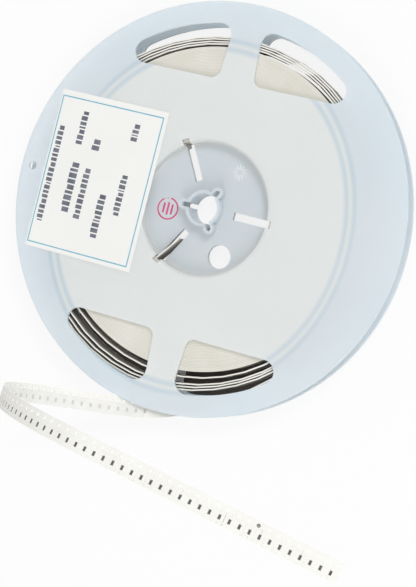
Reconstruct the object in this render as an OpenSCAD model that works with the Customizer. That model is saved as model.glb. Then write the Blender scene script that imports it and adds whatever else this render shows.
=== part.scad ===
// Component reel for narrow punched tape. Two moulded halves meet at the
// middle of the hub, the tape is wound between their flanges, and its free end
// comes out at the rim, turns on edge and springs up into a wide loop.
// Z = 0 is the outer face of the back flange and Z is the reel's own axis.

/* [Reel] */
// Diameter of both flanges
flange_d = 178; // [177:0.5:182]
// Thickness of one flange
flange_t = 1.1; // [0.8:0.1:1.4]
// Clear width between the flanges
flange_gap = 8.6; // [8.5:0.1:9.4]
// Chamfer around the rim of each flange
rim_chamfer = 0.3; // [0.1:0.05:0.35]

/* [Hub] */
// Outer diameter of the hub that the tape is wound on
hub_d = 60; // [56:0.5:64]
// Wall of the hub cup
hub_wall = 1.3; // [1:0.1:1.8]
// Thickness of the sunk web of one half
web_t = 1; // [0.8:0.1:1.4]
// Chamfer at the mouth of the hub cup
mouth_chamfer = 0.7; // [0.3:0.1:0.9]
// Width of the three tape slots in the hub
slot_w = 3.3; // [2.4:0.1:4]
// Distance from the axis to the inner end of a slot
slot_in = 12.8; // [12.4:0.1:14]
// Reach of a slot past the hub's outer wall
slot_past = 1.2; // [0.6:0.1:2]
// Diameter of the drive hole in the web
drive_hole_d = 10.3; // [8:0.1:11]
// Distance from the axis to the drive hole
drive_hole_r = 21.4; // [20:0.1:22]
// Direction of the drive hole from +X
drive_hole_angle = -59; // [-70:1:-45]

/* [Arbor] */
// Diameter of the arbor bore
bore_d = 13; // [12.8:0.1:13.5]
// Wall of the arbor boss
boss_wall = 1.3; // [1:0.1:1.6]
// Width of the three keyways
key_w = 2; // [1.5:0.1:2.5]
// Distance from the axis to the end of a keyway
key_r = 10.1; // [9.6:0.1:10.4]
// How far the lobes round the keyways stay below the end of the boss
key_drop = 0.4; // [0.2:0.1:1.5]

/* [Windows] */
// Distance from the axis to the straight edge of a window
window_in = 55; // [50:0.5:58]
// Width of the flange rim outside the windows
window_rim = 9.4; // [8:0.1:11]
// Width of a spoke at the straight edges
spoke_in_w = 16; // [14:0.5:18]
// Width of a spoke at the rim
spoke_out_w = 12.8; // [12:0.2:14]
// Radius of the corner between straight edge and spoke
window_r_in = 4; // [2:0.5:5]
// Radius of the corner between spoke and rim
window_r_out = 5.5; // [3:0.5:6]
// Radius of the pointed end of a window
window_r_end = 5.2; // [3:0.1:6]
// Diameter of the small hole in the rim
rim_hole_d = 3.4; // [2:0.1:4]
// Distance from the small hole to the edge of the flange
rim_hole_edge = 5.4; // [4:0.1:6]

/* [Tape] */
// Width of the tape
tape_w = 8; // [7.8:0.05:8.1]
// Thickness of the tape
tape_t = 0.6; // [0.4:0.05:0.62]
// Distance between neighbouring sprocket holes
tape_pitch = 4; // [3.8:0.1:4.2]
// Diameter of a sprocket hole
sprocket_d = 1.5; // [1:0.1:1.6]
// Distance from the tape's edge to the sprocket holes
sprocket_edge = 1.75; // [1.5:0.05:1.9]
// Distance across the tape from sprocket hole to pocket
pocket_offset = 3.5; // [3.2:0.1:3.8]
// Length of a pocket across the tape
pocket_l = 1.9; // [1.8:0.05:2.2]
// Width of a pocket along the tape
pocket_w = 1.1; // [1:0.05:1.3]
// Diameter of the tight part of the roll
roll_d = 139.2; // [130:0.4:140]
// Play between the tight roll and the hub
roll_play = 0.15; // [0.1:0.05:0.3]

/* [Chips] */
// Length of a chip across the tape
chip_l = 1.6; // [1.5:0.05:1.7]
// Width of a chip along the tape
chip_w = 0.8; // [0.7:0.05:0.85]
// Height of a chip
chip_t = 0.45; // [0.3:0.05:0.5]

/* [Label] */
// Width of the label
label_w = 52; // [45:1:54]
// Height of the label
label_h = 71; // [60:1:74]
// Thickness of the label
label_t = 0.15; // [0.1:0.05:0.3]
// Distance from the axis to the middle of the label
label_mid = 51.8; // [50:0.2:54]

/* [Hidden] */

flange_r = flange_d / 2;
hub_r = hub_d / 2;
bore_r = bore_d / 2;
roll_r = roll_d / 2;
half_h = flange_t + flange_gap / 2;
reel_h = 2 * half_h;
mid_z = half_h;
window_out = flange_r - window_rim;
rim_hole_r = flange_r - rim_hole_edge;

// the free tape is laid out in steps of half a pitch
step = tape_pitch / 2;
// distance from the middle of the tape to each row, across the tape
sprocket_v = tape_w / 2 - sprocket_edge;
pocket_v = sprocket_v - pocket_offset;
sprocket_sides = 12;

// how far the loose turns stand off the tight roll, every 60 degrees clockwise
loose_slack = [0.3, 2.1, 2.2, 1.6, 1.1, 1.0,
    2.3, 4.6, 6.1, 4.3, 2.2, 2.0,
    3.3, 5.5, 8.1, 6.3, 3.4, 3.1,
    4.5, 6.6, 9.7, 8.1, 4.3, 4.05,
    5.5, 8.9];
loose_end = 1490;
loose_steps = 198;

// where the tape crosses the rim, from the edge of the flange and the mid plane
exit_x = -10.6;
exit_y = -(flange_r + 1.8);
exit_z = mid_z + 3.6;
// the loop bends about one fixed line, and the tape runs a little askew to it
loop_yaw = -1.3;
loop_tip = -11.7;
loop_skew = -9.6;
loop_start = 173;
// pitches in each stretch of the loop, and how far that stretch bends
loop_plan = [[4, 21], [5, 28], [5, 30.5], [5.5, 29], [5, 16], [7.5, 25.5], [7.5, 28.5],
    [10, 4.5], [14.5, 4]];
// steps of the twisting run between the loose turns and the rim
twist_steps = 35;
// steps before the rim at which the punched part starts
punch_lead = 5;

function sum_to(v, k, i) = i <= 0 ? 0 : v[i - 1][k] + sum_to(v, k, i - 1);
function unit(v) = v / norm(v);
function mix(a, b, u) = a + (b - a) * u;
function ease(u) = u * u * (3 - 2 * u);
function arc_pts(c, r, a0, a1, n) =
    [for (i = [0:n]) c + r * [cos(mix(a0, a1, i / n)), sin(mix(a0, a1, i / n))]];

// ---- windows -------------------------------------------------------------

// outline of one window, to the right of the upper spoke
function window_outline() =
    let (
        lean = (spoke_out_w - spoke_in_w) / 2 / (window_out - window_in),
        slant = sqrt(1 + lean * lean),
        ay = window_in + window_r_in,
        ax = spoke_in_w / 2 + window_r_in * (lean + slant),
        m = spoke_in_w / 2 - window_in * lean + window_r_out * slant,
        d = window_out - window_r_out,
        by = (-m * lean + sqrt(m * m * lean * lean - slant * slant * (m * m - d * d)))
            / (slant * slant),
        bx = m + lean * by,
        cy = window_in + window_r_end,
        cx = sqrt(pow(window_out - window_r_end, 2) - cy * cy),
        side = 180 - atan(lean)
    )
    concat(
        arc_pts([cx, cy], window_r_end, -90, atan2(cy, cx), 10),
        arc_pts([0, 0], window_out, atan2(cy, cx) + 2, atan2(by, bx) - 2, 12),
        arc_pts([bx, by], window_r_out, atan2(by, bx), side, 8),
        arc_pts([ax, ay], window_r_in, side, 270, 8)
    );

module window_cuts() {
    for (sx = [0, 1])
        for (sy = [0, 1])
            mirror([sx, 0, 0])
                mirror([0, sy, 0])
                    translate([0, 0, half_h - flange_t - 1])
                        linear_extrude(flange_t + 2)
                            polygon(window_outline());
}

// ---- reel halves ---------------------------------------------------------

// section of one half: hub cup, sunk web, arbor boss and flange, from the mid plane up
function half_section() = [
    [bore_r, 0],
    [hub_r, 0],
    [hub_r, half_h - flange_t],
    [flange_r - rim_chamfer, half_h - flange_t],
    [flange_r, half_h - flange_t + rim_chamfer],
    [flange_r, half_h - rim_chamfer],
    [flange_r - rim_chamfer, half_h],
    [hub_r - hub_wall + mouth_chamfer, half_h],
    [hub_r - hub_wall, half_h - mouth_chamfer],
    [hub_r - hub_wall, web_t],
    [bore_r + boss_wall, web_t],
    [bore_r + boss_wall, half_h],
    [bore_r, half_h]
];

module keyway_lobe() {
    lobe_r = key_w / 2 + boss_wall;
    start = bore_r + boss_wall / 2;
    translate([start, -lobe_r, 0])
        cube([key_r - key_w / 2 - start, 2 * lobe_r, half_h - key_drop]);
    translate([key_r - key_w / 2, 0, 0])
        cylinder(r = lobe_r, h = half_h - key_drop, $fn = 32);
}

module keyway_cut() {
    translate([0, -key_w / 2, -1])
        cube([key_r - key_w / 2, key_w, half_h + 2]);
    translate([key_r - key_w / 2, 0, -1])
        cylinder(d = key_w, h = half_h + 2, $fn = 24);
}

module tape_slot_cut() {
    translate([slot_in, -slot_w / 2, -1])
        cube([hub_r + slot_past - slot_in, slot_w, half_h + 2]);
}

module reel_half() {
    difference() {
        union() {
            rotate_extrude($fn = 180)
                polygon(half_section());
            for (a = [60, 180, 300])
                rotate([0, 0, a])
                    keyway_lobe();
        }
        for (a = [60, 180, 300])
            rotate([0, 0, a])
                keyway_cut();
        for (a = [0, 120, 240])
            rotate([0, 0, a])
                tape_slot_cut();
        rotate([0, 0, drive_hole_angle])
            translate([drive_hole_r, 0, -1])
                cylinder(d = drive_hole_d, h = web_t + 2, $fn = 64);
        translate([-rim_hole_r, 0, half_h - flange_t - 1])
            cylinder(d = rim_hole_d, h = flange_t + 2, $fn = 32);
        window_cuts();
    }
}

module front_half() {
    color([0.82, 0.87, 0.89])
        translate([0, 0, mid_z])
            reel_half();
}

module back_half() {
    color([0.78, 0.84, 0.87])
        translate([0, 0, mid_z])
            mirror([0, 0, 1])
                reel_half();
}

// ---- wound tape ----------------------------------------------------------

module tape_roll() {
    color([0.85, 0.83, 0.76])
        rotate_extrude($fn = 180)
            translate([hub_r + roll_play, mid_z - tape_w / 2])
                square([roll_r - hub_r - roll_play, tape_w]);
}

// smooth curve through the slack values
function slack_at(q) =
    let (
        n = len(loose_slack),
        i = min(max(floor(q), 0), n - 2),
        u = q - i,
        p0 = loose_slack[max(i - 1, 0)],
        p1 = loose_slack[i],
        p2 = loose_slack[i + 1],
        p3 = loose_slack[min(i + 2, n - 1)]
    )
    p1 + u / 2 * (p2 - p0 + u * (2 * p0 - 5 * p1 + 4 * p2 - p3 + u * (3 * (p1 - p2) + p3 - p0)));
function loose_point(turned) =
    let (r = roll_r + tape_t / 2 + slack_at(turned / 60))
    [r * cos(-turned), r * sin(-turned), mid_z];

// a frame is [point in the middle of the tape, direction of travel, direction across]
function loose_frame(turned) =
    [loose_point(turned), unit(loose_point(turned + 1) - loose_point(turned - 1)), [0, 0, -1]];
loose_frames = [for (i = [0:loose_steps]) loose_frame(loose_end * i / loose_steps)];

// ---- free end ------------------------------------------------------------

loop_axis = [sin(loop_yaw) * cos(loop_tip), cos(loop_yaw) * cos(loop_tip), sin(loop_tip)];
loop_u = unit(cross(loop_axis, [0, 0, 1]));
loop_b = cross(loop_u, loop_axis);
loop_table = [for (i = [0:len(loop_plan)])
    [sum_to(loop_plan, 0, i) * 2, loop_start - sum_to(loop_plan, 1, i)]];
loop_steps = sum_to(loop_plan, 0, len(loop_plan)) * 2;
function loop_flat(k) =
    let (a = lookup(k, loop_table))
    cos(a) * loop_u + sin(a) * loop_b;
function loop_dir(k) = cos(loop_skew) * loop_flat(k) + sin(loop_skew) * loop_axis;
function loop_across(k) = cos(loop_skew) * loop_axis - sin(loop_skew) * loop_flat(k);
loop_points = [for (i = 0, p = [exit_x, exit_y, exit_z]; i <= loop_steps;
    p = p + step * loop_dir(i + 0.5), i = i + 1) p];
loop_frames = [for (i = [0:loop_steps]) [loop_points[i], loop_dir(i), loop_across(i)]];

// the run from the last loose turn to the rim, turning from on edge to flat
twist_from = loose_frames[loose_steps];
twist_to = loop_frames[0];
twist_len = twist_steps * step;
function twist_point(u) =
    (1 + 2 * u) * pow(1 - u, 2) * twist_from[0] + u * pow(1 - u, 2) * twist_len * twist_from[1]
    + u * u * (3 - 2 * u) * twist_to[0] - u * u * (1 - u) * twist_len * twist_to[1];
function twist_dir(u) =
    u <= 0 ? twist_from[1] : unit(twist_point(u + 0.001) - twist_point(u - 0.001));
function twist_frame(u) =
    let (
        t = twist_dir(u),
        a = mix(twist_from[2], twist_to[2], ease(u))
    )
    [twist_point(u), t, unit(a - (a * t) * t)];
twist_frames = [for (i = [0:twist_steps - 1]) twist_frame(i / twist_steps)];
free_frames = concat(twist_frames, loop_frames);

// ---- tape as a strip of tiles ---------------------------------------------

// corners at a frame: upper and lower face, both edges
function frame_corners(f) =
    let (
        n = cross(f[1], f[2]) * tape_t / 2,
        a = f[2] * tape_w / 2
    )
    [f[0] + a + n, f[0] - a + n, f[0] - a - n, f[0] + a - n];
// a point on a tile between frames f and g, u along, v across, n off the middle
function tile_point(f, g, u, v, n) =
    mix(f[0], g[0], u) + v * mix(f[2], g[2], u)
    + n * unit(mix(cross(f[1], f[2]), cross(g[1], g[2]), u));

function sprocket_loop() = [for (j = [0:sprocket_sides - 1])
    [0.5 - sprocket_d / 2 / step * cos(360 * j / sprocket_sides),
        sprocket_v + sprocket_d / 2 * sin(360 * j / sprocket_sides)]];
function pocket_loop() =
    let (
        u = pocket_w / 2 / step,
        v = pocket_l / 2
    )
    [[0.5 - u, pocket_v - v], [0.5 - u, pocket_v + v], [0.5 + u, pocket_v + v],
        [0.5 + u, pocket_v - v]];
function hole_points(f, g, rim) = concat(
    [for (h = rim) tile_point(f, g, h[0], h[1], tape_t / 2)],
    [for (h = rim) tile_point(f, g, h[0], h[1], -tape_t / 2)]);

// faces of a tile with no hole; c is the first corner of its first frame
function plain_faces(c) = [
    [c, c + 4, c + 5], [c, c + 5, c + 1],
    [c + 3, c + 6, c + 7], [c + 3, c + 2, c + 6]
];
// faces of a tile with a hole of n sides whose points start at h
function holed_faces(c, h, n) =
    let (
        m = n / 4,
        up = [c, c + 4, c + 5, c + 1],
        low = [c + 3, c + 7, c + 6, c + 2]
    )
    concat(
        [for (q = [0:3]) [up[q], up[(q + 1) % 4], h + (q + 1) * m % n]],
        [for (q = [0:3]) [low[(q + 1) % 4], low[q], h + n + (q + 1) * m % n]],
        [for (q = [0:3]) for (j = [q * m:(q + 1) * m - 1]) [up[q], h + (j + 1) % n, h + j]],
        [for (q = [0:3]) for (j = [q * m:(q + 1) * m - 1])
            [low[q], h + n + j, h + n + (j + 1) % n]],
        [for (j = [0:n - 1]) [h + j, h + (j + 1) % n, h + n + (j + 1) % n]],
        [for (j = [0:n - 1]) [h + j, h + n + (j + 1) % n, h + n + j]]
    );
function edge_faces(c) = [
    [c + 4, c, c + 3], [c + 4, c + 3, c + 7],
    [c + 1, c + 5, c + 6], [c + 1, c + 6, c + 2]
];

// a closed strip over the frames; tiles from first_hole on carry a sprocket
// hole and a pocket in turn
module tape_strip(frames, first_hole) {
    n = len(frames) - 1;
    rims = [sprocket_loop(), pocket_loop()];
    pair = 2 * (len(rims[0]) + len(rims[1]));
    punched = n - first_hole;
    corner_pts = [for (f = frames) for (p = frame_corners(f)) p];
    hole_pts = [for (k = [0:1:punched - 1])
        for (p = hole_points(frames[first_hole + k], frames[first_hole + k + 1], rims[k % 2])) p];
    hole_at = function(k) len(corner_pts) + floor(k / 2) * pair
        + (k % 2) * 2 * len(rims[0]);
    polyhedron(
        points = concat(corner_pts, hole_pts),
        faces = concat(
            [[0, 1, 2], [0, 2, 3]],
            [[4 * n + 1, 4 * n, 4 * n + 3], [4 * n + 1, 4 * n + 3, 4 * n + 2]],
            [for (i = [0:n - 1]) for (f = edge_faces(4 * i)) f],
            [for (i = [0:1:min(first_hole, n) - 1]) for (f = plain_faces(4 * i)) f],
            [for (k = [0:1:punched - 1])
                for (f = holed_faces(4 * (first_hole + k), hole_at(k), len(rims[k % 2]))) f]
        )
    );
}

module loose_turns() {
    color([0.93, 0.92, 0.86])
        tape_strip(loose_frames, loose_steps);
}

module free_tape() {
    color([0.93, 0.92, 0.88])
        tape_strip(free_frames, twist_steps - punch_lead);
}

// the tape's inner end, caught in one slot of the hub
module tape_tail() {
    tail_l = hub_r - slot_in - 4;
    color([0.88, 0.9, 0.84])
        rotate([0, 0, 240])
            translate([hub_r - tail_l / 2, 0, mid_z])
                rotate([0, 0, -8])
                    cube([tail_l, tape_t, tape_w], center = true);
}

// ---- chips and label -----------------------------------------------------

module chips() {
    color([0.12, 0.12, 0.13])
        for (k = [twist_steps - punch_lead + 1:2:len(free_frames) - 2])
            place_chip(free_frames[k], free_frames[k + 1]);
}

module place_chip(f, g) {
    t = unit(g[0] - f[0]);
    a = unit(mix(f[2], g[2], 0.5) - (mix(f[2], g[2], 0.5) * t) * t);
    n = cross(t, a);
    p = mix(f[0], g[0], 0.5) + pocket_v * a + (chip_t - tape_t) / 2 * n;
    multmatrix([
        [t[0], a[0], n[0], p[0]],
        [t[1], a[1], n[1], p[1]],
        [t[2], a[2], n[2], p[2]],
        [0, 0, 0, 1]
    ])
        cube([chip_w, chip_l, chip_t], center = true);
}

module label() {
    color([0.95, 0.95, 0.93])
        translate([-label_mid - label_w / 2, 0.8 - label_h / 2, reel_h])
            cube([label_w, label_h, label_t]);
}

front_half();
back_half();
tape_roll();
loose_turns();
free_tape();
tape_tail();
chips();
label();
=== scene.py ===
import math
import bmesh
import bpy
from mathutils import Matrix, Vector


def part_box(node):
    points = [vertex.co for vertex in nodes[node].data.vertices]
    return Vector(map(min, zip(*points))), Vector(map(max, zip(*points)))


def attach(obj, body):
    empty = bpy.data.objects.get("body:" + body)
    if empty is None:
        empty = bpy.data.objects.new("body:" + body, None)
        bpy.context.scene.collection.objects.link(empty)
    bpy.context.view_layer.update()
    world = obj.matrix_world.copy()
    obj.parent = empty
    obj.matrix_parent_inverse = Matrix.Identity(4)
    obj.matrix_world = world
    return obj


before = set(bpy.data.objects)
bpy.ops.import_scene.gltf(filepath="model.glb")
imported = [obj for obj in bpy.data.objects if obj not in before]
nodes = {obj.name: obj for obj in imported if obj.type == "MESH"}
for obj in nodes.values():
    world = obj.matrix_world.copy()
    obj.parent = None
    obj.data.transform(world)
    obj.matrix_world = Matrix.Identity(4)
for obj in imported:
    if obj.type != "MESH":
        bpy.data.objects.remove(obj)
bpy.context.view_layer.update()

mm = 0.001
print("reel frame loaded:", ", ".join(sorted(nodes)))


# a plain value is set on the socket itself, an output is linked to it
def feed(tree, value, socket):
    if isinstance(value, (int, float, tuple)):
        socket.default_value = value
    else:
        tree.links.new(value, socket)

def addMath(tree, operation, a, b=None):
    node = tree.nodes.new("ShaderNodeMath")
    node.operation = operation
    feed(tree, a, node.inputs[0])
    if b is not None:
        feed(tree, b, node.inputs[1])
    return node.outputs[0]

def mixColor(tree, factor, a, b):
    node = tree.nodes.new("ShaderNodeMix")
    node.data_type = "RGBA"
    for socket, value in zip((node.inputs[0], node.inputs[6], node.inputs[7]), (factor, a, b)):
        feed(tree, value, socket)
    return node.outputs[2]

def mapRange(tree, value, low, high, toLow=0.0, toHigh=1.0):
    node = tree.nodes.new("ShaderNodeMapRange")
    tree.links.new(value, node.inputs[0])
    for socket, number in zip(node.inputs[1:5], (low, high, toLow, toHigh)):
        socket.default_value = number
    return node.outputs[0]

def addNoise(tree, vector, scale, detail, roughness=0.55):
    noise = tree.nodes.new("ShaderNodeTexNoise")
    tree.links.new(vector, noise.inputs["Vector"])
    feed(tree, scale, noise.inputs["Scale"])
    noise.inputs["Detail"].default_value = detail
    noise.inputs["Roughness"].default_value = roughness
    return noise.outputs["Fac"]

def objectPlace(tree):
    return tree.nodes.new("ShaderNodeTexCoord").outputs["Object"]

def splitVector(tree, vector):
    node = tree.nodes.new("ShaderNodeSeparateXYZ")
    tree.links.new(vector, node.inputs[0])
    return node.outputs

def vectorLength(tree, vector):
    node = tree.nodes.new("ShaderNodeVectorMath")
    node.operation = "LENGTH"
    tree.links.new(vector, node.inputs[0])
    return node.outputs["Value"]

def mixShaders(tree, share, first, second):
    node = tree.nodes.new("ShaderNodeMixShader")
    for value, socket in zip((share, first, second), node.inputs):
        tree.links.new(value, socket)
    return node.outputs[0]


# camera
view = {
    "place": (0.24080, -0.00721, 0.62900),
    "right": (0.904756, 0.248510, -0.345918),
    "up": (-0.247128, 0.967750, 0.048869),
    "back": (0.346907, 0.041272, 0.936991),
    "lens": 95.47, "sensor": 36.0, "clipStart": 0.01,
}

def setCamera():
    camData = bpy.data.cameras.new("benchCamera")
    camData.lens = view["lens"]
    camData.sensor_width = view["sensor"]
    camData.clip_start = view["clipStart"]
    cam = bpy.data.objects.new("benchCamera", camData)
    bpy.context.collection.objects.link(cam)
    turn = Matrix((view["right"], view["up"], view["back"])).transposed().to_4x4()
    cam.matrix_world = Matrix.Translation(view["place"]) @ turn
    bpy.context.scene.camera = cam


# lamps and room: a key from behind the right, a fill from the front
lamps = {
    "keyPlace": (0.75, 1.15, 1.35), "keySize": 0.9, "keyPower": 12.5,
    "fillPlace": (0.35, -1.35, 1.0), "fillSize": 1.4, "fillPower": 9.0,
    "roomLevel": 0.63,
}

def addLamp(name, place, size, power):
    data = bpy.data.lights.new(name, "AREA")
    data.shape = "DISK"
    data.size = size
    data.energy = power
    lamp = bpy.data.objects.new(name, data)
    bpy.context.collection.objects.link(lamp)
    lamp.location = place
    lamp.rotation_euler = Vector(place).to_track_quat("Z", "Y").to_euler()

# 1 where the ray comes from the camera, a reflection or through clear plastic
def seenDirectly(tree):
    paths = tree.nodes.new("ShaderNodeLightPath")
    seen = addMath(tree, "MAXIMUM", paths.outputs["Is Camera Ray"], paths.outputs["Is Glossy Ray"])
    return addMath(tree, "MAXIMUM", seen, paths.outputs["Is Transmission Ray"])

def addGlow(tree, kind, strength):
    node = tree.nodes.new(kind)
    node.inputs["Color"].default_value = (1, 1, 1, 1)
    node.inputs["Strength"].default_value = strength
    return node.outputs[0]

def setWorld():
    world = bpy.data.worlds.new("paleRoom")
    bpy.context.scene.world = world
    world.use_nodes = True
    tree = world.node_tree
    tree.nodes.clear()
    out = tree.nodes.new("ShaderNodeOutputWorld")
    room = addGlow(tree, "ShaderNodeBackground", lamps["roomLevel"])
    plain = addGlow(tree, "ShaderNodeBackground", 1.0)
    tree.links.new(mixShaders(tree, seenDirectly(tree), room, plain), out.inputs["Surface"])


# bench: white where it is seen, with part of the shadow kept
bench = {
    "half": 3.0, "drop": 0.0003, "color": (0.9, 0.9, 0.9, 1), "shadowShare": 0.16,
    # the deeper shade under the slack turns, painted on the bench as a dark matt colour that only the camera
    # sees: its colour, its ring and the side it lies on
    "shade": (0.17, 0.15, 0.14, 1), "shadeFrom": 0.045, "shadeReach": 0.086, "shadeBelow": -0.02,
}

# 1 where a shadow is painted on the bench, seen by the camera from above: under the low side of the reel, where
# the loose turns keep the light out
def paintedShadowUnderTurns(tree):
    place = objectPlace(tree)
    reach = vectorLength(tree, place)
    inside = addMath(tree, "MULTIPLY", addMath(tree, "LESS_THAN", reach, bench["shadeReach"]),
        addMath(tree, "GREATER_THAN", reach, bench["shadeFrom"]))
    low = addMath(tree, "LESS_THAN", splitVector(tree, place)[1], bench["shadeBelow"])
    above = addMath(tree, "SUBTRACT", 1.0, tree.nodes.new("ShaderNodeNewGeometry").outputs["Backfacing"])
    seen = tree.nodes.new("ShaderNodeLightPath").outputs["Is Camera Ray"]
    seenFromAbove = addMath(tree, "MULTIPLY", seen, above)
    return addMath(tree, "MULTIPLY", addMath(tree, "MULTIPLY", inside, low), seenFromAbove)

def makeBench():
    mesh = bpy.data.meshes.new("benchTop")
    h, z = bench["half"], -bench["drop"]
    mesh.from_pydata([(-h, -h, z), (h, -h, z), (h, h, z), (-h, h, z)], [], [(0, 1, 2, 3)])
    floor = bpy.data.objects.new("benchTop", mesh)
    bpy.context.collection.objects.link(floor)
    mat = bpy.data.materials.new("paleBench")
    mat.use_nodes = True
    tree = mat.node_tree
    tree.nodes.clear()
    out = tree.nodes.new("ShaderNodeOutputMaterial")
    matt, shade = tree.nodes.new("ShaderNodeBsdfDiffuse"), tree.nodes.new("ShaderNodeBsdfDiffuse")
    matt.inputs["Color"].default_value = bench["color"]
    shade.inputs["Color"].default_value = bench["shade"]
    glow = addGlow(tree, "ShaderNodeEmission", 1.0)
    share = addMath(tree, "MULTIPLY", seenDirectly(tree), 1.0 - bench["shadowShare"])
    pale = mixShaders(tree, share, matt.outputs[0], glow)
    # painted shadow: the dark matt colour takes the place of the pale bench under the loose turns
    tree.links.new(mixShaders(tree, paintedShadowUnderTurns(tree), pale, shade.outputs[0]), out.inputs["Surface"])
    mesh.materials.append(mat)

setCamera()
setWorld()
addLamp("keySoftbox", lamps["keyPlace"], lamps["keySize"], lamps["keyPower"])
addLamp("fillSoftbox", lamps["fillPlace"], lamps["fillSize"], lamps["fillPower"])
makeBench()
print("camera, lamps and bench set")


# shared effects
cloudShape = {
    "from": 0.35, "to": 0.68, "detail": 5.0,
    "grainDetail": 3.0, "grainRoughness": 0.7, "grainMiddle": 0.5,
}

def newGroup(name, inputs, outputs):
    group = bpy.data.node_groups.new(name, "ShaderNodeTree")
    for label, kind, value in inputs:
        group.interface.new_socket(label, in_out="INPUT", socket_type=kind).default_value = value
    for label, kind in outputs:
        group.interface.new_socket(label, in_out="OUTPUT", socket_type=kind)
    return group, group.nodes.new("NodeGroupInput"), group.nodes.new("NodeGroupOutput")

# soft cloudy colour with a fine grain on top, and the grain's height
def buildCloudyGrain():
    group, inn, out = newGroup("cloudyGrain", [
        ("Color", "NodeSocketColor", (0.8, 0.8, 0.8, 1)),
        ("Cloud Color", "NodeSocketColor", (0.7, 0.7, 0.7, 1)),
        ("Cloud Scale", "NodeSocketFloat", 30.0),
        ("Grain Scale", "NodeSocketFloat", 900.0),
        ("Grain Depth", "NodeSocketFloat", 0.06),
    ], [("Color", "NodeSocketColor"), ("Height", "NodeSocketFloat"), ("Cloud", "NodeSocketFloat")])
    shape = cloudShape
    place = objectPlace(group)
    soft = addNoise(group, place, inn.outputs["Cloud Scale"], shape["detail"])
    cloud = mapRange(group, soft, shape["from"], shape["to"])
    grain = addNoise(group, place, inn.outputs["Grain Scale"], shape["grainDetail"], shape["grainRoughness"])
    colour = mixColor(group, cloud, inn.outputs["Color"], inn.outputs["Cloud Color"])
    shade = addMath(group, "MULTIPLY", addMath(group, "SUBTRACT", grain, shape["grainMiddle"]),
        inn.outputs["Grain Depth"])
    bright = group.nodes.new("ShaderNodeBrightContrast")
    group.links.new(colour, bright.inputs["Color"])
    group.links.new(shade, bright.inputs["Bright"])
    group.links.new(bright.outputs[0], out.inputs["Color"])
    group.links.new(grain, out.inputs["Height"])
    group.links.new(cloud, out.inputs["Cloud"])
    return group

# distance from the reel's axis and height in millimetres, and how far a face points along the axis
def buildReelPlace():
    group, inn, out = newGroup("reelPlace", [],
        [("Radius", "NodeSocketFloat"), ("Height", "NodeSocketFloat"), ("Facing Up", "NodeSocketFloat")])
    x, y, z = splitVector(group, objectPlace(group))
    flat = group.nodes.new("ShaderNodeCombineXYZ")
    group.links.new(x, flat.inputs[0])
    group.links.new(y, flat.inputs[1])
    radius = vectorLength(group, flat.outputs[0])
    group.links.new(addMath(group, "MULTIPLY", radius, 1 / mm), out.inputs["Radius"])
    group.links.new(addMath(group, "MULTIPLY", z, 1 / mm), out.inputs["Height"])
    turned = splitVector(group, group.nodes.new("ShaderNodeTexCoord").outputs["Normal"])
    group.links.new(addMath(group, "ABSOLUTE", turned[2]), out.inputs["Facing Up"])
    return group

cloudyGrain = buildCloudyGrain()
reelPlace = buildReelPlace()

def placeGroup(tree, group, **values):
    node = tree.nodes.new("ShaderNodeGroup")
    node.node_tree = group
    for label, value in values.items():
        node.inputs[label.replace("_", " ")].default_value = value
    return node

def newSurface(name, **values):
    mat = bpy.data.materials.new(name)
    mat.use_nodes = True
    shader = mat.node_tree.nodes["Principled BSDF"]
    for label, value in values.items():
        shader.inputs[label.replace("_", " ")].default_value = value
    return mat, mat.node_tree, shader

def addBump(tree, shader, height, strength, distance):
    bump = tree.nodes.new("ShaderNodeBump")
    bump.inputs["Strength"].default_value = strength
    bump.inputs["Distance"].default_value = distance
    tree.links.new(height, bump.inputs["Height"])
    tree.links.new(bump.outputs[0], shader.inputs["Normal"])

# a surface of cloud and grain from one look; bump is its strength and its height in metres
def grainySurface(name, look, **values):
    mat, tree, shader = newSurface(name, Roughness=look["roughness"], **values)
    cloud = placeGroup(tree, cloudyGrain, Color=look["color"], Cloud_Color=look["cloud"],
        Cloud_Scale=look["cloudScale"], Grain_Scale=look["grainScale"], Grain_Depth=look["grainDepth"])
    tree.links.new(cloud.outputs["Color"], shader.inputs["Base Color"])
    if "bump" in look:
        addBump(tree, shader, cloud.outputs["Height"], *look["bump"])
    return mat, tree, shader, cloud

def dress(name, mat):
    mesh = nodes[name].data
    mesh.materials.clear()
    mesh.materials.append(mat)

def newPiece(name, bm, mat):
    mesh = bpy.data.meshes.new(name)
    bm.to_mesh(mesh)
    bm.free()
    mesh.materials.append(mat)
    piece = bpy.data.objects.new(name, mesh)
    bpy.context.collection.objects.link(piece)
    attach(piece, "root")
    return piece

# a box from its centre, three directions and three half sizes, with its edges eased
def addBlock(bm, centre, axes, halves, ease=0.0):
    corners = []
    for sx, sy, sz in ((-1, -1, -1), (1, -1, -1), (1, 1, -1), (-1, 1, -1),
                       (-1, -1, 1), (1, -1, 1), (1, 1, 1), (-1, 1, 1)):
        corners.append(bm.verts.new(centre + axes[0] * sx * halves[0]
            + axes[1] * sy * halves[1] + axes[2] * sz * halves[2]))
    faces = [bm.faces.new([corners[k] for k in ring]) for ring in (
        (0, 3, 2, 1), (4, 5, 6, 7), (0, 1, 5, 4), (1, 2, 6, 5), (2, 3, 7, 6), (3, 0, 4, 7))]
    if ease:
        edges = list({edge for face in faces for edge in face.edges})
        bmesh.ops.bevel(bm, geom=edges, offset=ease, segments=2, affect="EDGES")

# skin between rings of points, closed at both ends
def skinRings(bm, rings):
    count = len(rings[0])
    for a, b in zip(rings, rings[1:]):
        for k in range(count):
            bm.faces.new((a[k], a[(k + 1) % count], b[(k + 1) % count], b[k]))
    bm.faces.new(list(reversed(rings[0])))
    bm.faces.new(rings[-1])
    bmesh.ops.recalc_face_normals(bm, faces=bm.faces)


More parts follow.
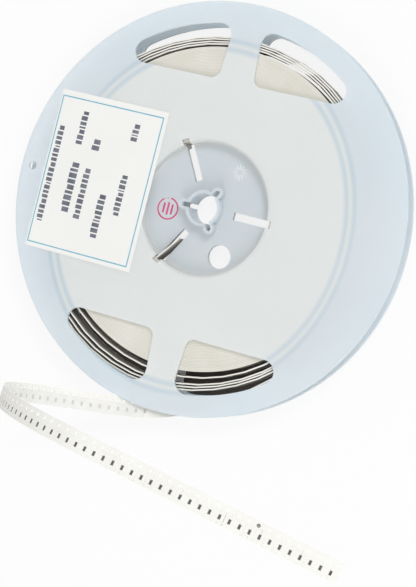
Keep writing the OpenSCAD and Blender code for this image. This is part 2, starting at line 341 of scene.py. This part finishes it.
# reel halves: milky moulded plastic
milkyPlastic = {
    "overPaper": (0.925, 0.957, 0.95, 1), "overAir": (0.81, 0.89, 0.94, 1), "hubWeb": (0.83, 0.905, 0.955, 1),
    "paintedTurnShade": (0.50, 0.67, 0.80, 1), "bandShare": 0.5, "bandHalf": (0.003, 0.025), "bandApart": 0.024,
    # the outermost turns behind the flange: centre and half widths in millimetres
    "turnCentre": (-2.0, -4.0), "turnReach": (69.0, 76.0), "turnEdge": (0.975, 1.03), "webRadius": (26.4, 28.2),
    "frost": (0.96, 0.97, 0.97, 1), "frostShare": 0.25,
    "cloudScale": 22.0, "grainScale": 1400.0, "grainDepth": 0.02, "bump": (0.12, 0.0001),
    "roughness": (0.35, 0.47), "transmission": 0.28, "ior": 1.3, "gloss": 0.4,
}

# painted see-through: the tape behind the milky flange is painted into the flange's colour, lighter and warmer
# over the tape, bluer beyond it and over the hub web
def paintedSeeThrough(tree):
    look = milkyPlastic
    place = splitVector(tree, objectPlace(tree))
    squashed = tree.nodes.new("ShaderNodeCombineXYZ")
    for k in range(2):
        along = addMath(tree, "ADD", place[k], -look["turnCentre"][k] * mm)
        tree.links.new(addMath(tree, "DIVIDE", along, look["turnReach"][k] * mm), squashed.inputs[k])
    reach = vectorLength(tree, squashed.outputs[0])
    colour = mixColor(tree, mapRange(tree, reach, *look["turnEdge"]), look["overPaper"], look["overAir"])
    radius = placeGroup(tree, reelPlace).outputs["Radius"]
    web = mapRange(tree, radius, look["webRadius"][0], look["webRadius"][1], 1.0, 0.0)
    colour = mixColor(tree, web, colour, look["hubWeb"])
    # painted shade: two soft darker lines beside each other, the outer one on the tape's edge
    off = addMath(tree, "ABSOLUTE", addMath(tree, "SUBTRACT", reach, 1.0 - look["bandApart"]))
    off = addMath(tree, "ABSOLUTE", addMath(tree, "SUBTRACT", off, look["bandApart"]))
    turnShadeLines = mapRange(tree, off, look["bandHalf"][0], look["bandHalf"][1], look["bandShare"], 0.0)
    return mixColor(tree, turnShadeLines, colour, look["paintedTurnShade"])

def makeMilkyPlastic():
    look = milkyPlastic
    mat, tree, shader = newSurface("milkyPlastic", IOR=look["ior"], Transmission_Weight=look["transmission"],
        Specular_IOR_Level=look["gloss"])
    cloud = placeGroup(tree, cloudyGrain, Cloud_Scale=look["cloudScale"], Grain_Scale=look["grainScale"],
        Grain_Depth=look["grainDepth"])
    paintedTint = paintedSeeThrough(tree)
    tree.links.new(paintedTint, cloud.inputs["Color"])
    tree.links.new(mixColor(tree, look["frostShare"], paintedTint, look["frost"]), cloud.inputs["Cloud Color"])
    tree.links.new(cloud.outputs["Color"], shader.inputs["Base Color"])
    tree.links.new(mapRange(tree, cloud.outputs["Cloud"], 0, 1, *look["roughness"]), shader.inputs["Roughness"])
    addBump(tree, shader, cloud.outputs["Height"], *look["bump"])
    return mat

plastic = makeMilkyPlastic()
dress("front_half", plastic)
dress("back_half", plastic)
print("reel halves dressed")


# wound tape: one line for each turn, some pressed deeper than others
rollPaper = {
    "color": (0.80, 0.785, 0.72, 1), "cloud": (0.74, 0.72, 0.64, 1), "lineColor": (0.44, 0.41, 0.345, 1),
    "cloudScale": 60.0, "grainScale": 2600.0, "grainDepth": 0.06, "roughness": 0.85, "gloss": 0.25,
    "pitch": 0.63, "wanderScale": 18.0, "wanderDetail": 2.0, "wander": 1.6,
    "lineFrom": 0.34, "lineShare": (0.3, 1.0), "lineDrop": -0.8, "lineBump": (0.35, 0.0002),
}

def makeRollPaper():
    look = rollPaper
    mat, tree, shader, cloud = grainySurface("rollPaper", look, Specular_IOR_Level=look["gloss"])
    radius = placeGroup(tree, reelPlace).outputs["Radius"]
    wander = addNoise(tree, objectPlace(tree), look["wanderScale"], look["wanderDetail"])
    turned = addMath(tree, "ADD", radius, addMath(tree, "MULTIPLY", wander, look["wander"]))
    turned = addMath(tree, "DIVIDE", turned, look["pitch"])
    edge = addMath(tree, "ABSOLUTE", addMath(tree, "SUBTRACT", addMath(tree, "FRACT", turned), 0.5))
    crease = mapRange(tree, edge, look["lineFrom"], 0.5)
    oneTurn = tree.nodes.new("ShaderNodeTexWhiteNoise")
    oneTurn.noise_dimensions = "1D"
    tree.links.new(addMath(tree, "FLOOR", turned), oneTurn.inputs["W"])
    depth = addMath(tree, "MULTIPLY", crease, mapRange(tree, oneTurn.outputs["Value"], 0, 1, *look["lineShare"]))
    colour = mixColor(tree, depth, cloud.outputs["Color"], look["lineColor"])
    tree.links.new(colour, shader.inputs["Base Color"])
    height = addMath(tree, "ADD", oneTurn.outputs["Value"], addMath(tree, "MULTIPLY", crease, look["lineDrop"]))
    addBump(tree, shader, height, *look["lineBump"])
    return mat


# slack turns and the tail: pale edges, and side faces that darken towards the middle of the reel, partly the
# dark chips under the film and partly painted shade deep in the gaps between turns
turnPaper = {
    "color": (0.90, 0.885, 0.83, 1), "cloud": (0.80, 0.785, 0.72, 1), "chipsAndGapShade": (0.17, 0.15, 0.135, 1),
    "cloudScale": 90.0, "grainScale": 2600.0, "grainDepth": 0.05, "roughness": 0.7, "gloss": 0.3,
    "bump": (0.15, 0.0001), "sideway": (0.3, 0.7), "middle": 5.4, "depth": (2.2, 4.0), "darkShare": (0.85, 0.4),
}

def makeTurnPaper():
    look = turnPaper
    mat, tree, shader, cloud = grainySurface("turnPaper", look, Specular_IOR_Level=look["gloss"])
    place = placeGroup(tree, reelPlace)
    depth = addMath(tree, "ABSOLUTE", addMath(tree, "SUBTRACT", place.outputs["Height"], look["middle"]))
    side = mapRange(tree, place.outputs["Facing Up"], look["sideway"][0], look["sideway"][1], 1.0, 0.0)
    # painted shade: the side faces take the dark colour most at mid-height, where the gaps between turns are
    # deepest
    paintedGapShade = addMath(tree, "MULTIPLY", side, mapRange(tree, depth, *look["depth"], *look["darkShare"]))
    tree.links.new(mixColor(tree, paintedGapShade, cloud.outputs["Color"], look["chipsAndGapShade"]), shader.inputs["Base Color"])
    return mat

dress("tape_roll", makeRollPaper())
turnMat = makeTurnPaper()
dress("loose_turns", turnMat)
dress("tape_tail", turnMat)
print("wound tape dressed")


# free end: white punched paper
freePaper = {
    "color": (0.93, 0.925, 0.885, 1), "cloud": (0.90, 0.89, 0.84, 1), "roughness": 0.75, "gloss": 0.3,
    "cloudScale": 120.0, "grainScale": 3000.0, "grainDepth": 0.04, "bump": (0.15, 0.0001),
}
chipCeramic = {
    "color": (0.75, 0.74, 0.7, 1), "cloud": (0.62, 0.6, 0.56, 1), "roughness": 0.5,
    "cloudScale": 900.0, "grainScale": 6000.0, "grainDepth": 0.05,
}
dress("free_tape", grainySurface("freePaper", freePaper, Specular_IOR_Level=freePaper["gloss"])[0])
dress("chips", grainySurface("chipCeramic", chipCeramic)[0])


# reading the chips' places from their solids
chipSearch = {"weld": 1e-6, "square": 0.05, "tapeReach": 5.5 * mm}

# the corners of each separate solid
def looseParts(mesh):
    bm = bmesh.new()
    bm.from_mesh(mesh)
    bmesh.ops.remove_doubles(bm, verts=bm.verts, dist=chipSearch["weld"])
    todo, parts = set(bm.verts), []
    while todo:
        start = todo.pop()
        part, stack = [start], [start]
        while stack:
            for edge in stack.pop().link_edges:
                for vert in edge.verts:
                    if vert in todo:
                        todo.discard(vert)
                        part.append(vert)
                        stack.append(vert)
        parts.append([vert.co.copy() for vert in part])
    bm.free()
    return parts

# one entry per chip: its centre, the way along the tape, across it and out of it
def readChips():
    tape = [vert.co.copy() for vert in nodes["free_tape"].data.vertices]
    chips = []
    for points in looseParts(nodes["chips"].data):
        centre = sum(points, Vector()) / len(points)
        spans = sorted(((p - points[0]) for p in points[1:]), key=lambda s: s.length)
        short, mid = spans[0], spans[1]
        long = max((s for s in spans if all(abs(s.normalized().dot(other.normalized())) < chipSearch["square"]
            for other in (short, mid))), key=lambda s: s.length)
        across = long.normalized()
        near = [p for p in tape if (p - centre).length < chipSearch["tapeReach"]]
        if (sum(near, Vector()) / len(near) - centre).dot(across) < 0:
            across = -across
        chips.append([centre, mid.normalized(), across, short.normalized()])
    # follow the tape from its cut end back to the rim
    row = [max(chips, key=lambda c: c[0].x)]
    rest = [c for c in chips if c is not row[0]]
    while rest:
        nextChip = min(rest, key=lambda c: (c[0] - row[-1][0]).length)
        rest.remove(nextChip)
        row.append(nextChip)
    row.reverse()
    for i, chip in enumerate(row):
        ahead = row[min(i + 1, len(row) - 1)][0] - row[max(i - 1, 0)][0]
        if chip[1].dot(ahead) < 0:
            chip[1] = -chip[1]
        chip[3] = chip[1].cross(chip[2]).normalized()
    return row

chipRow = readChips()
print("chips found along the tape:", len(chipRow))


# chip terminals at both ends and the dark glaze between them
chipLook = {
    "capLong": 0.22 * mm, "capSkin": 0.012 * mm, "glazeLong": 1.3 * mm, "glazeWide": 0.8 * mm,
    "glazeThick": 0.03 * mm, "long": 1.6 * mm, "wide": 0.8 * mm, "thick": 0.45 * mm,
}
chipTin = {
    "color": (0.17, 0.17, 0.18, 1), "cloud": (0.10, 0.10, 0.11, 1), "roughness": 0.35, "metal": 0.9,
    "cloudScale": 1500.0, "grainScale": 7000.0, "grainDepth": 0.05,
}
chipGlaze = {
    "color": (0.012, 0.012, 0.014, 1), "cloud": (0.022, 0.022, 0.026, 1), "roughness": 0.3, "coat": 0.25,
    "cloudScale": 1200.0, "grainScale": 7000.0, "grainDepth": 0.01,
}

def makeChipParts():
    caps, glaze = bmesh.new(), bmesh.new()
    look = chipLook
    skin = look["capSkin"]
    for centre, along, across, up in chipRow:
        axes = (along, across, up)
        for side in (-1, 1):
            middle = centre + across * side * (look["long"] - look["capLong"]) / 2
            addBlock(caps, middle, axes,
                (look["wide"] / 2 + skin, look["capLong"] / 2 + skin, look["thick"] / 2 + skin))
        top = centre + up * (look["thick"] + look["glazeThick"]) / 2
        addBlock(glaze, top, axes, (look["glazeWide"] / 2, look["glazeLong"] / 2, look["glazeThick"] / 2))
    newPiece("chipTerminals", caps, grainySurface("chipTin", chipTin, Metallic=chipTin["metal"])[0])
    newPiece("chipGlazes", glaze, grainySurface("chipGlaze", chipGlaze, Coat_Weight=chipGlaze["coat"])[0])

makeChipParts()
print("chips finished")


# film over the pockets and tissue under them
ribbon = {"width": 5.4 * mm, "thick": 0.04 * mm, "shift": 0.1 * mm, "gloss": 0.6, "alphaSpread": 0.05}
coverFilm = {
    "color": (0.95, 0.96, 0.96, 1), "cloud": (0.95, 0.96, 0.96, 1), "roughness": 0.12, "alpha": 0.04,
    "cloudScale": 200.0, "grainScale": 2500.0, "grainDepth": 0.02, "lift": 0.395 * mm,
}
backTissue = {
    "color": (0.96, 0.955, 0.925, 1), "cloud": (0.96, 0.955, 0.925, 1), "roughness": 0.7, "alpha": 0.84,
    "cloudScale": 200.0, "grainScale": 2500.0, "grainDepth": 0.02, "lift": -0.255 * mm,
}

# chips every pitch, and points half way between them on the same smooth curve
def tapeStations():
    stations = []
    for i, here in enumerate(chipRow):
        stations.append(here)
        if i + 1 < len(chipRow):
            there = chipRow[i + 1]
            before = chipRow[max(i - 1, 0)][0]
            after = chipRow[min(i + 2, len(chipRow) - 1)][0]
            middle = (here[0] + there[0]) * (9 / 16) - (before + after) * (1 / 16)
            stations.append([middle] + [(here[k] + there[k]).normalized() for k in (1, 2, 3)])
    return stations

# a thin closed strip along the tape
def makeRibbon(name, matName, look, stations):
    strip, rings = bmesh.new(), []
    for centre, along, across, up in stations:
        middle = centre + up * look["lift"] + across * ribbon["shift"]
        rings.append([strip.verts.new(middle + across * sx * ribbon["width"] / 2 + up * sy * ribbon["thick"] / 2)
            for sx, sy in ((-1, -1), (1, -1), (1, 1), (-1, 1))])
    skinRings(strip, rings)
    mat, tree, shader, cloud = grainySurface(matName, look, Specular_IOR_Level=ribbon["gloss"])
    low, high = (look["alpha"] * (1 + sign * ribbon["alphaSpread"]) for sign in (-1, 1))
    tree.links.new(mapRange(tree, cloud.outputs["Cloud"], 0, 1, low, high), shader.inputs["Alpha"])
    newPiece(name, strip, mat)

stations = tapeStations()
makeRibbon("coverFilm", "clearFilm", coverFilm, stations)
makeRibbon("backPaper", "backTissue", backTissue, stations)


# painted shade: thin grey patches just under the back tissue, one over each pocket, so the pockets show darker
# through it
paintedPocketShade = {
    "wide": 1.05 * mm, "long": 1.7 * mm, "thick": 0.012 * mm, "lift": -0.29 * mm,
    "color": (0.58, 0.57, 0.53, 1), "cloud": (0.7, 0.69, 0.65, 1), "roughness": 0.8,
    "cloudScale": 700.0, "grainScale": 3000.0, "grainDepth": 0.04,
}

def makePaintedPocketShades():
    look = paintedPocketShade
    shades = bmesh.new()
    for centre, along, across, up in chipRow:
        addBlock(shades, centre + up * look["lift"], (along, across, up),
            (look["wide"] / 2, look["long"] / 2, look["thick"] / 2))
    newPiece("paintedPocketShades", shades, grainySurface("pocketGrey", look)[0])


# the one punching left in its sprocket hole: the chip beside it, the way to the hole, and its disc
punching = {
    "chip": 57, "across": 3.5 * mm, "along": 2.0 * mm, "radius": 0.72 * mm, "thick": 0.3 * mm, "sides": 20,
    "profile": ((-0.5, 0.94), (-0.4, 1.0), (0.4, 1.0), (0.5, 0.94)),
    "color": (0.22, 0.21, 0.2, 1), "cloud": (0.34, 0.33, 0.31, 1), "roughness": 0.8,
    "cloudScale": 900.0, "grainScale": 4000.0, "grainDepth": 0.05,
}

def makePunching():
    look = punching
    centre, along, across, up = chipRow[look["chip"]]
    middle = centre + across * look["across"] + along * look["along"]
    disc, rings = bmesh.new(), []
    for lift, reach in look["profile"]:
        ring = []
        for k in range(look["sides"]):
            a = 2 * math.pi * k / look["sides"]
            side = (along * math.cos(a) + across * math.sin(a)) * look["radius"] * reach
            ring.append(disc.verts.new(middle + side + up * look["thick"] * lift))
        rings.append(ring)
    skinRings(disc, rings)
    newPiece("stuckPunching", disc, grainySurface("greyPunching", look)[0])

makePaintedPocketShades()
makePunching()
print("tape dressed")


# label: smooth paper, a teal frame line and lines of plain marks in place of print
labelPaper = {
    "color": (0.90, 0.90, 0.88, 1), "cloud": (0.88, 0.88, 0.855, 1), "roughness": 0.55, "gloss": 0.35,
    "cloudScale": 40.0, "grainScale": 2400.0, "grainDepth": 0.025, "bump": (0.08, 0.0001),
}
ink = {"roughness": 0.6, "cloudScale": 260.0, "grainScale": 3500.0, "grainDepth": 0.05}
labelPrint = {
    "thick": 0.02 * mm, "border": 0.5, "borderColor": (0.12, 0.42, 0.55, 1), "borderThin": (0.2, 0.5, 0.62, 1),
    "color": (0.10, 0.11, 0.14, 1), "thin": (0.2, 0.21, 0.25, 1),
    # frame line in millimetres: left, right, low and high
    "frame": (-77.2, -27.5, -32.9, 33.7),
    # a line of print: x, first y, last y, height of its marks, widths of its marks in turn
    "lines": [
        (-39.0, 28.2, 19.0, 3.0, (1.9, 1.5, 0.5, 1.7)),
        (-38.8, 5.5, -13.3, 3.0, (1.6, 1.4, 1.8, 0.5, 1.5, 1.7, 1.4)),
        (-46.8, -5.0, -26.2, 3.4, (1.9, 1.6, 1.9, 1.6, 1.2, 0.7, 1.8)),
        (-55.8, 17.8, 12.0, 3.6, (2.1, 2.1)),
        (-56.8, 4.5, -19.7, 3.0, (2.0, 1.7, 1.4, 1.8, 1.6, 1.5)),
        (-64.3, 28.6, 12.5, 3.0, (1.5, 1.9, 1.5, 0.8, 1.8, 1.9)),
        (-63.2, 5.8, -17.8, 3.8, (2.1, 1.3, 2.2, 1.9)),
        (-74.1, 20.2, -24.4, 2.8, (1.9, 1.7, 1.4, 1.6, 0.6, 1.8, 1.2, 1.5)),
    ],
    # space between marks, how far a line may run over, and every how many marks one is shorter
    "space": 0.62, "over": 0.2, "shortEvery": 4, "shortBy": 0.5,
}
flatAxes = (Vector((1, 0, 0)), Vector((0, 1, 0)), Vector((0, 0, 1)))

def makeInk(name, color, thin):
    return grainySurface(name, dict(ink, color=color, cloud=thin))[0]

# a flat mark of ink from corner to corner, in millimetres
def addMark(bm, x0, y0, x1, y1, z, thick):
    centre = Vector(((x0 + x1) / 2 * mm, (y0 + y1) / 2 * mm, z + thick / 2))
    addBlock(bm, centre, flatAxes, (abs(x1 - x0) / 2 * mm, abs(y1 - y0) / 2 * mm, thick / 2))

def makeLabelPrint():
    look = labelPrint
    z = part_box("label")[1][2]
    left, right, low, high = look["frame"]
    w = look["border"]
    border, marks = bmesh.new(), bmesh.new()
    for corners in ((left, low, left + w, high), (right - w, low, right, high),
                    (left + w, low, right - w, low + w), (left + w, high - w, right - w, high)):
        addMark(border, *corners, z, look["thick"])
    for x, y, last, tall, widths in look["lines"]:
        k = 0
        while y - widths[k % len(widths)] > last - look["over"]:
            wide = widths[k % len(widths)]
            foot = x - tall / 2 + (0.0 if k % look["shortEvery"] else look["shortBy"])
            addMark(marks, foot, y - wide, x + tall / 2, y, z, look["thick"])
            y -= wide + look["space"]
            k += 1
    newPiece("labelBorder", border, makeInk("tealInk", look["borderColor"], look["borderThin"]))
    newPiece("labelPrint", marks, makeInk("printInk", look["color"], look["thin"]))

dress("label", grainySurface("labelPaper", labelPaper, Specular_IOR_Level=labelPaper["gloss"])[0])
makeLabelPrint()
print("label printed")


# stamp on the web: an open ring, two flecks in its gap and three bars for the inspector's mark
webTop = 6.4 * mm
stamp = {
    "place": (-17.4, -3.7), "radius": 4.9, "stroke": 0.62, "arc": (-235, 85), "steps": 48, "thick": 0.015 * mm,
    "flecks": ((100, 106), (114, 119)), "fleckInset": 0.3, "fleckStroke": 0.35, "fleckSteps": 3,
    "bars": ((-1.9, 4.4), (0.0, 5.6), (1.9, 4.4)), "barHalf": 0.42,
    "color": (0.62, 0.03, 0.16, 1), "thin": (0.66, 0.1, 0.24, 1),
}

# part of a flat ring, from one angle to another
def addArc(bm, x, y, z, radius, stroke, arc, steps, thick):
    rings = []
    for i in range(steps + 1):
        a = math.radians(arc[0] + (arc[1] - arc[0]) * i / steps)
        rings.append([bm.verts.new(((x + r * math.cos(a)) * mm, (y + r * math.sin(a)) * mm, z + up * thick))
            for r, up in ((radius - stroke / 2, 0), (radius + stroke / 2, 0),
                          (radius + stroke / 2, 1), (radius - stroke / 2, 1))])
    skinRings(bm, rings)

def makeStamp():
    look = stamp
    x, y = look["place"]
    red = bmesh.new()
    addArc(red, x, y, webTop, look["radius"] - look["stroke"] / 2, look["stroke"], look["arc"], look["steps"],
        look["thick"])
    for fleck in look["flecks"]:
        addArc(red, x, y, webTop, look["radius"] - look["fleckInset"], look["fleckStroke"], fleck,
            look["fleckSteps"], look["thick"])
    for shift, tall in look["bars"]:
        addMark(red, x + shift - look["barHalf"], y - tall / 2, x + shift + look["barHalf"], y + tall / 2,
            webTop, look["thick"])
    newPiece("inspectionStamp", red, makeInk("redStampInk", look["color"], look["thin"]))


# moulded mark: twelve short frosted bars round a point, every third one longer
mouldMark = {
    "place": (10.6, 18.6), "bars": 12, "turn": 8, "from": 1.2, "reach": 3.1, "longReach": 3.6, "longEvery": 3,
    "half": 0.13 * mm, "tall": 0.12 * mm, "ease": 0.02 * mm,
    "color": (0.97, 0.975, 0.98, 1), "cloud": (0.93, 0.95, 0.965, 1), "roughness": 0.6,
    "cloudScale": 400.0, "grainScale": 2600.0, "grainDepth": 0.03,
}

def makeMouldMark():
    look = mouldMark
    x, y = look["place"]
    bars = bmesh.new()
    for i in range(look["bars"]):
        a = math.radians(i * 360 / look["bars"] + look["turn"])
        out = Vector((math.cos(a), math.sin(a), 0))
        reach = look["reach"] if i % look["longEvery"] else look["longReach"]
        centre = Vector((x * mm, y * mm, webTop + look["tall"] / 2)) + out * (reach + look["from"]) / 2 * mm
        addBlock(bars, centre, (out, flatAxes[2].cross(out), flatAxes[2]),
            ((reach - look["from"]) / 2 * mm, look["half"], look["tall"] / 2), look["ease"])
    newPiece("mouldClock", bars, grainySurface("frostedMark", look)[0])

makeStamp()
makeMouldMark()
print("stamp and mould mark set")

bpy.context.scene.view_settings.view_transform = "Standard"
